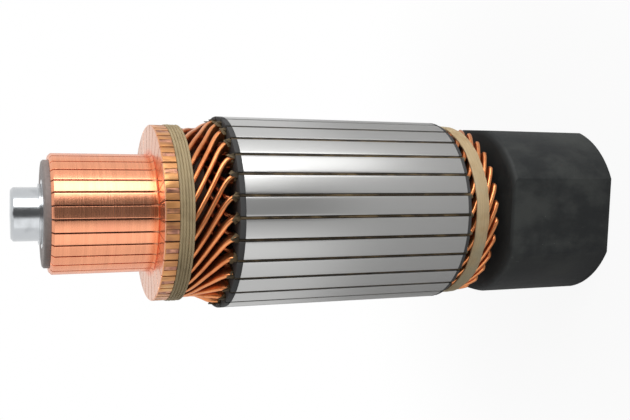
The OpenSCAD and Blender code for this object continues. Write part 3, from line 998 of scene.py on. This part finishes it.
class ARMATURE_OT_commutator(bpy.types.Operator):
    """Turns the bars with their risers and sets the mica between them"""
    bl_idname = "armature.commutator"
    bl_label = "Commutator"

    def outline(self, sizes):
        """A bar's outline as (radius, height), with its two anchor hooks."""
        front = RISER_BACK + sizes.riser_width
        seat, hook, foot = sizes.seat_radius, 18 * MM, 16.5 * MM
        fillet = [(sizes.track_radius + sizes.root * (1 - math.sin(a)),
                   front + sizes.root * (1 - math.cos(a)))
                  for a in (math.radians(15 * k) for k in range(7))]
        chamfer = 1 * MM
        rim = 0.35 * MM
        return ([(seat, RISER_BACK), (sizes.riser_radius, RISER_BACK),
                 (sizes.riser_radius, front - rim), (sizes.riser_radius - rim, front)] + fillet
                + [(sizes.track_radius, BAR_END - chamfer), (sizes.track_radius - chamfer, BAR_END),
                   (seat, BAR_END), (seat, BAR_END - 6.1 * MM), (hook, BAR_END - 3.1 * MM),
                   (foot, BAR_END - 3.1 * MM), (foot, RISER_BACK + 3.1 * MM),
                   (hook, RISER_BACK + 3.1 * MM), (seat, RISER_BACK + 6.1 * MM)])

    def bar(self, sizes, winding):
        pitch = 2 * math.pi / winding.slots
        points = [Vector((radius, 0, height)) for radius, height in self.outline(sizes)]
        piece = chain(points)
        bpy.ops.mesh.select_all(action="SELECT")
        bpy.ops.mesh.edge_face_add()
        move_selected(piece, Matrix.Rotation(pitch / 2, 4, "Z"))
        bpy.ops.mesh.select_all(action="SELECT")
        bpy.ops.mesh.spin(steps=8, angle=pitch, center=(0, 0, 0), axis=(0, 0, 1))
        turned = [vertex.co.y for vertex in bmesh.from_edit_mesh(piece.data).verts]
        if abs(max(turned) + min(turned)) > 0.05 * MM:
            raise RuntimeError("The bar was not spun evenly about its middle")
        for side in (-1, 1):
            across = Matrix.Rotation(side * pitch / 2, 4, "Z") @ Vector((0, side, 0))
            bpy.ops.mesh.select_all(action="SELECT")
            bpy.ops.mesh.bisect(plane_co=-across * sizes.mica_width / 2, plane_no=across,
                                use_fill=True, clear_outer=True, threshold=0.0000005)
        bpy.ops.mesh.select_all(action="SELECT")
        bpy.ops.mesh.remove_doubles(threshold=0.000001)
        bpy.ops.mesh.normals_make_consistent(inside=False)
        leave_edit()
        self.cut_slot(piece, sizes, winding)
        soften(piece, sizes.edge, 2, 25)
        return piece

    def cut_slot(self, piece, sizes, winding):
        """Saws the slot for the strips into the back of the riser."""
        floor = sizes.riser_radius - sizes.lead_sink - 2 * winding.strip_height - winding.layer_gap - 0.1 * MM
        low, high = RISER_BACK - 1 * MM, RISER_BACK + sizes.riser_width - sizes.riser_wall
        deselect()
        bpy.ops.mesh.primitive_cube_add(size=1, location=((floor + 0.05) / 2, 0, (low + high) / 2))
        saw = bpy.context.object
        saw.scale = (0.05 - floor, winding.strip_width + 0.2 * MM, high - low)
        bpy.ops.object.transform_apply(location=True, rotation=True, scale=True)
        focus(piece)
        cut = piece.modifiers.new("Slot", "BOOLEAN")
        cut.operation = "DIFFERENCE"
        cut.object = saw
        bpy.ops.object.modifier_apply(modifier=cut.name)
        bpy.data.objects.remove(saw)

    def mica(self, sizes):
        """A leaf of mica: deep along the track, running out before the risers."""
        front = RISER_BACK + sizes.riser_width
        low_r = sizes.track_radius - sizes.undercut
        run = [(sizes.track_radius - 0.03 * MM - sizes.undercut * smooth(k / 6) * 0.96,
                front + 0.6 * MM + (sizes.run_out - 0.6 * MM) * k / 6) for k in range(7)]
        points = ([(sizes.seat_radius, RISER_BACK), (sizes.riser_radius - sizes.undercut, RISER_BACK),
                   (sizes.riser_radius - sizes.undercut, front - 0.03 * MM),
                   (sizes.track_radius + 0.4 * MM, front - 0.03 * MM)] + run
                  + [(low_r, BAR_END - 0.6 * MM), (sizes.seat_radius, BAR_END - 0.6 * MM)])
        piece = chain([Vector((radius, 0, height)) for radius, height in points])
        bpy.ops.mesh.select_all(action="SELECT")
        bpy.ops.mesh.edge_face_add()
        thick = sizes.mica_width - 0.04 * MM
        bpy.ops.mesh.extrude_region_move(TRANSFORM_OT_translate={"value": (0, thick, 0)})
        bpy.ops.mesh.select_all(action="SELECT")
        bpy.ops.transform.translate(value=(0, -thick / 2, 0))
        bpy.ops.mesh.normals_make_consistent(inside=False)
        return piece

    def solder(self, sizes, winding):
        """The lumpy fill over each strip in the rim of the risers."""
        low = RISER_BACK + 0.15 * MM
        high = RISER_BACK + sizes.riser_width - sizes.riser_wall + 0.02 * MM
        inside = sizes.riser_radius - sizes.lead_sink - 0.2 * MM
        outside = sizes.riser_radius - 0.12 * MM
        lumps = []
        for k in range(winding.slots):
            deselect()
            bpy.ops.mesh.primitive_cube_add(size=1, location=((inside + outside) / 2, 0, (low + high) / 2))
            lump = bpy.context.object
            lump.scale = (outside - inside, winding.strip_width - 0.12 * MM, high - low)
            bpy.ops.object.transform_apply(location=True, rotation=True, scale=True)
            edit(lump)
            bpy.ops.mesh.subdivide(number_cuts=5)
            leave_edit()
            for vertex in lump.data.vertices:
                if vertex.co.x > outside - 0.01 * MM:
                    crest = 1 - (vertex.co.y / winding.strip_width * 2) ** 2
                    bump = noise.noise(Vector((k * 5.1, vertex.co.y * 900, vertex.co.z * 500)))
                    vertex.co.x += (0.10 * crest + 0.20 * bump - 0.03) * MM
            lump.data.transform(Matrix.Rotation(2 * math.pi * k / winding.slots, 4, "Z"))
            lumps.append(lump)
        piece = join(lumps)
        piece.data.transform(Matrix.Rotation(winding.slot_turn + sizes.bar_lead, 4, "Z"))
        return piece

    def execute(self, context):
        sizes = context.scene.armature_commutator
        winding = context.scene.armature_winding
        first = winding.slot_turn + sizes.bar_lead
        bars = ring_of(self.bar(sizes, winding), winding.slots, first)
        dress(bars, "commutator_bars_body", bar_copper(), "commutator_copper", "commutator_bars")
        leaves = ring_of(self.mica(sizes), winding.slots, first + math.pi / winding.slots)
        dress(leaves, "mica_leaves", split_mica(), "mica", "mica_separators")
        dress(self.solder(sizes, winding), "riser_solder", riser_solder(), "commutator_copper")
        ring = merged_copy("commutator_moulding", "moulded_ring")
        soften(ring, 0.15 * MM)
        dress(ring, "moulded_ring", moulded_resin(), "moulding_resin", "commutator_moulding")
        return {"FINISHED"}


class ARMATURE_OT_bindings(bpy.types.Operator):
    """Binds the end turns with cord and tape"""
    bl_idname = "armature.bindings"
    bl_label = "Bindings"

    def turns(self, sizes):
        """Touching turns of cord that wander a little against each other."""
        radius = reach("front_binding_cord") - sizes.cord_width / 2
        step = (CORD_HIGH - CORD_LOW - sizes.cord_width) / (sizes.cord_turns - 1)
        rounds = []
        for k in range(sizes.cord_turns):
            deselect()
            bpy.ops.mesh.primitive_torus_add(major_segments=232, minor_segments=12, major_radius=radius,
                                             minor_radius=sizes.cord_width / 2 * 0.97,
                                             location=(0, 0, CORD_LOW + sizes.cord_width / 2 + k * step))
            turn = bpy.context.object
            bpy.ops.object.transform_apply(location=True, rotation=True, scale=True)
            for vertex in turn.data.vertices:
                angle = math.atan2(vertex.co.y, vertex.co.x)
                place = Vector((math.cos(angle) * 2.2, math.sin(angle) * 2.2, k * 4.3))
                wander = noise.noise(place) * 0.13 * MM
                strand = noise.noise(place * 5) * 0.07 * MM
                out = Vector((vertex.co.x, vertex.co.y, 0)).normalized()
                vertex.co += out * (noise.noise(place * 2 + Vector((9, 0, 0))) * 0.10 * MM - 0.07 * MM + strand)
                vertex.co.z += wander if 0 < k < sizes.cord_turns - 1 else wander * 0.5
            rounds.append(turn)
        return join(rounds)

    def tape(self, sizes):
        """Two laps of tape, one a little wider, that follow the strips beneath."""
        inner = reach("rear_binding_tape") - sizes.tape_thickness
        outer = inner + sizes.tape_thickness * 0.93
        middle = inner + sizes.tape_thickness * 0.62
        step, round_off = 0.9 * MM, 0.22 * MM
        outline = [(inner, TAPE_LOW + 0.1 * MM), (middle - round_off, TAPE_LOW + 0.02 * MM),
                   (middle, TAPE_LOW + 0.25 * MM), (middle, TAPE_LOW + step),
                   (outer - round_off / 2, TAPE_LOW + step + 0.1 * MM), (outer, TAPE_LOW + step + 0.4 * MM),
                   (outer, (TAPE_LOW + TAPE_HIGH) / 2), (outer, TAPE_HIGH - 0.5 * MM),
                   (outer - round_off, TAPE_HIGH - 0.05 * MM), (inner, TAPE_HIGH - 0.1 * MM)]
        piece = lathe(outline, 232)
        for vertex in piece.data.vertices:
            angle = math.atan2(vertex.co.y, vertex.co.x)
            place = Vector((math.cos(angle) * 3, math.sin(angle) * 3, vertex.co.z * 160))
            out = Vector((vertex.co.x, vertex.co.y, 0)).normalized()
            shape = abs(math.sin((angle * 29 + vertex.co.z * 900) / 2)) * 0.16 - 0.24
            vertex.co += out * (noise.noise(place) * 0.26 + shape) * MM
            vertex.co.z += noise.noise(place * 1.7 + Vector((0, 0, 5))) * 0.32 * MM
        return piece

    def execute(self, context):
        sizes = context.scene.armature_bindings
        dress(self.turns(sizes), "front_cord_turns", binding_twine(), "binding_cord", "front_binding_cord")
        dress(self.tape(sizes), "rear_tape_laps", glass_tape(), "binding_tape", "rear_binding_tape")
        return {"FINISHED"}


# ---------------------------------------------------------------- the stage

class ARMATURE_OT_stage(bpy.types.Operator):
    """Lays the floor, hangs the lamps and places the camera"""
    bl_idname = "armature.stage"
    bl_label = "Stage"

    def floor(self, reach, front):
        """A sheet of pale paper that ends a little behind the camera."""
        deselect()
        bpy.ops.mesh.primitive_plane_add(size=1, location=(0, (reach - front) / 2, 0))
        piece = bpy.context.object
        piece.name = "floor"
        piece.scale = (2 * reach, reach + front, 1)
        bpy.ops.object.transform_apply(location=True, rotation=True, scale=True)
        f = new_finish("pale_floor")
        path = self.paths(f)
        near = f.node("VectorMath", {"operation": "LENGTH"}, {0: f.place()}, "Value")
        seen = path["Is Camera Ray"] * (0.92 + 0.08 * f.step(near, 0.05, 0.26))
        mirrored = self.polished(f, path) * f.step(near, 0.26, 0.64) * 0.9
        paper = f.node("BsdfDiffuse", None, {"Color": (0.82, 0.82, 0.82, 1)})
        white = f.node("Emission", None, {"Color": (1, 1, 1, 1), "Strength": 1.0})
        f.node_output(f.node("MixShader", None, {0: f.clamp(seen + mirrored), 1: paper, 2: white}))
        piece.data.materials.append(f.owner)

    def paths(self, f):
        made = f.tree.nodes.new("ShaderNodeLightPath")
        return {name: Value(f, made.outputs[name])
                for name in ("Is Camera Ray", "Is Glossy Ray", "Is Transmission Ray")}

    def polished(self, f, path):
        return f.clamp(path["Is Glossy Ray"] + path["Is Transmission Ray"])

    def world(self):
        """Soft light, stronger from one side, white behind and dim behind the camera."""
        world = bpy.data.worlds.new("studio")
        bpy.context.scene.world = world
        f = Finish(world)
        path = self.paths(f)
        way = f.node("TexCoord", None, None, "Generated")
        side = f.part(way, "X") * 0.5 + 0.5
        turn = f.sum("ARCTAN2", f.part(way, "X"), f.part(way, "Y") * -1.0)
        room = f.step(turn, -0.33, -0.20) * (1 - f.step(turn, 0.60, 0.76))
        lit = f.blend(side, (0.06, 0.06, 0.06, 1), (0.66, 0.66, 0.66, 1))
        soft = f.node("Background", None, {"Color": lit, "Strength": 1.0})
        white = f.node("Background", None, {"Color": (1, 1, 1, 1), "Strength": 1.0})
        seen = f.blend(room, (0.95, 0.95, 0.95, 1), (0.10, 0.10, 0.10, 1))
        mirror = f.node("Background", None, {"Color": seen, "Strength": 1.0})
        plain = f.node("MixShader", None, {0: path["Is Camera Ray"], 1: soft, 2: white})
        f.node_output(f.node("MixShader", None, {0: self.polished(f, path), 1: plain, 2: mirror}))

    def lamp(self, name, place, power, width, height, aim_height=0.14):
        data = bpy.data.lights.new(name, "AREA")
        data.shape = "RECTANGLE"
        data.size = width
        data.size_y = height
        data.energy = power
        lamp = bpy.data.objects.new(name, data)
        bpy.context.collection.objects.link(lamp)
        aim = Vector((0, 0, aim_height)) - Vector(place)
        lamp.location = place
        lamp.rotation_euler = aim.to_track_quat("-Z", "Y").to_euler()

    def camera(self):
        data = bpy.data.cameras.new("camera")
        data.lens = 47.31
        data.sensor_width = 36.0
        data.clip_end = 200.0
        camera = bpy.data.objects.new("camera", data)
        bpy.context.collection.objects.link(camera)
        right = Vector((-0.0118, -0.36531, -0.93081))
        up = Vector((0.99993, -0.00526, -0.01062))
        ahead = Vector((0.00101, 0.93087, -0.36535))
        turn = Matrix((right, up, -ahead)).transposed()
        camera.matrix_world = Matrix.Translation((0, -0.33956, 0.26458)) @ turn.to_4x4()
        bpy.context.scene.camera = camera

    def execute(self, context):
        settings = context.scene.armature_stage
        self.floor(settings.floor_reach, settings.floor_front)
        self.world()
        self.lamp("key", (0.62, -0.52, 0.42), settings.key_power, 0.5, 0.7)
        self.lamp("fill", (-0.55, -0.65, 0.35), settings.fill_power, 0.6, 0.6)
        self.lamp("strip", (0.205, -0.140, 0.060), settings.strip_power, 0.06, 0.12, 0.06)
        self.camera()
        context.scene.view_settings.view_transform = "Standard"
        return {"FINISHED"}


class ARMATURE_PT_panel(bpy.types.Panel):
    """Lists the sizes, the colours and the pieces of the armature"""
    bl_idname = "ARMATURE_PT_panel"
    bl_label = "Armature"
    bl_space_type = "VIEW_3D"
    bl_region_type = "UI"
    bl_category = "Armature"

    def draw(self, context):
        layout = self.layout
        for holder in GROUPS:
            box = layout.box()
            group = getattr(context.scene, holder)
            for name in group.bl_rna.properties.keys():
                if name not in ("rna_type", "name"):
                    box.prop(group, name)
        for operator in PIECES:
            layout.operator(operator.bl_idname)


GROUPS = {
    "armature_winding": WindingSizes,
    "armature_core": CoreSizes,
    "armature_commutator": CommutatorSizes,
    "armature_bindings": BindingSizes,
    "armature_colours": Colours,
    "armature_stage": StageSettings,
}
PIECES = (ARMATURE_OT_shaft, ARMATURE_OT_block, ARMATURE_OT_core, ARMATURE_OT_papers,
          ARMATURE_OT_commutator, ARMATURE_OT_coils, ARMATURE_OT_bindings, ARMATURE_OT_stage)
CLASSES = tuple(GROUPS.values()) + PIECES + (ARMATURE_PT_panel,)


def register():
    for part in CLASSES:
        bpy.utils.register_class(part)
    for holder, group in GROUPS.items():
        setattr(bpy.types.Scene, holder, bpy.props.PointerProperty(type=group))


def unregister():
    for holder in GROUPS:
        delattr(bpy.types.Scene, holder)
    for part in reversed(CLASSES):
        bpy.utils.unregister_class(part)


def main():
    register()
    bpy.ops.armature.shaft()
    bpy.ops.armature.block()
    bpy.ops.armature.core()
    bpy.ops.armature.papers()
    bpy.ops.armature.commutator()
    bpy.ops.armature.coils()
    bpy.ops.armature.bindings()
    bpy.ops.armature.stage()


if __name__ == "__main__":
    main()
